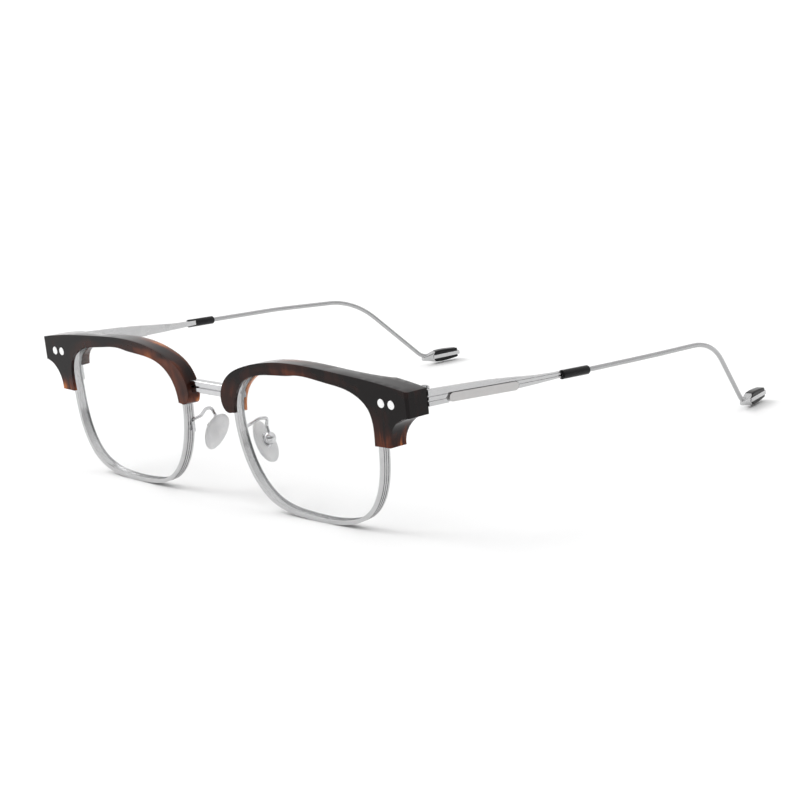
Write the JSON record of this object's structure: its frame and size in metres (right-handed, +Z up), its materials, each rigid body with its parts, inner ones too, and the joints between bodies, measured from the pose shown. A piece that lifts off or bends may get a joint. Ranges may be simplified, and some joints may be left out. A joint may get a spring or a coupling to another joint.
{
  "type": "half rim eyeglasses",
  "caption": "Browline eyeglasses with acetate brows over grooved metal eyewires, clear lenses, a bridge bar, adjustable nose pads and folding metal temples.",
  "frame": {"origin": "bottom centre of the open pair's bounding box, on the surface it stands on", "axes": "+Z up, -Y is the way the wearer looks, +X is the wearer's left; temples open and run back along +Y"},
  "size_m": [0.147, 0.145, 0.0388],
  "materials": {
    "acetate": "dark tortoise acetate, polished",
    "satin_metal": "satin silver",
    "brushed_metal": "lengthwise brushed silver",
    "polished_metal": "polished silver",
    "rivet_metal": "polished",
    "screw_metal": "polished",
    "plaque_metal": "matte, unmarked",
    "black_plastic": "black acetate, polished",
    "lens_glass": "clear",
    "pad_silicone": "clear frosted silicone"
  },
  "bodies": {
    "front": {"bridge_bar": "polished_metal", "brow_left": "acetate", "brow_right": "acetate", "brow_rivets_left": "rivet_metal", "brow_rivets_right": "rivet_metal", "eyewire_left": "satin_metal", "eyewire_right": "satin_metal", "lens_left": "lens_glass", "lens_right": "lens_glass", "rim_lock_left": "satin_metal", "rim_lock_right": "satin_metal", "rim_lock_screw_left": "screw_metal", "rim_lock_screw_right": "screw_metal", "endpiece_hinge_left": "satin_metal", "endpiece_hinge_right": "satin_metal", "hinge_screw_left": "screw_metal", "hinge_screw_right": "screw_metal", "pad_arm_left": "polished_metal", "pad_arm_right": "polished_metal", "pad_cup_left": "polished_metal", "pad_cup_right": "polished_metal", "pad_screw_left": "screw_metal", "pad_screw_right": "screw_metal"},
    "temple_left": {"temple_hinge_left": "satin_metal", "temple_arm_left": "brushed_metal", "temple_plaque_left": "plaque_metal", "plaque_screw_left": "screw_metal", "temple_sleeve_left": "black_plastic", "temple_wire_left": "satin_metal", "temple_tip_left": "brushed_metal", "tip_inlays_left": "black_plastic"},
    "temple_right": {"temple_hinge_right": "satin_metal", "temple_arm_right": "brushed_metal", "temple_plaque_right": "plaque_metal", "plaque_screw_right": "screw_metal", "temple_sleeve_right": "black_plastic", "temple_wire_right": "satin_metal", "temple_tip_right": "brushed_metal", "tip_inlays_right": "black_plastic"},
    "pad_left": {"nose_pad_left": "pad_silicone"},
    "pad_right": {"nose_pad_right": "pad_silicone"}
  },
  "joints": [
    {"name": "temple_left_fold", "type": "hinge", "parent": "front", "child": "temple_left", "pos_m": [0.0683, -0.06208, 0.033], "axis": [0, 0, 1], "range_deg": [0, 88]},
    {"name": "temple_right_fold", "type": "hinge", "parent": "front", "child": "temple_right", "pos_m": [-0.0683, -0.06208, 0.033], "axis": [0, 0, -1], "range_deg": [0, 80]},
    {"name": "pad_left_rock", "type": "hinge", "parent": "front", "child": "pad_left", "pos_m": [0.01108, -0.06235, 0.01557], "axis": [-0.1217, 0.9903, -0.0675], "range_deg": [-8, 8]},
    {"name": "pad_right_rock", "type": "hinge", "parent": "front", "child": "pad_right", "pos_m": [-0.01108, -0.06235, 0.01557], "axis": [0.1217, 0.9903, -0.0675], "range_deg": [-8, 8]}
  ]
}
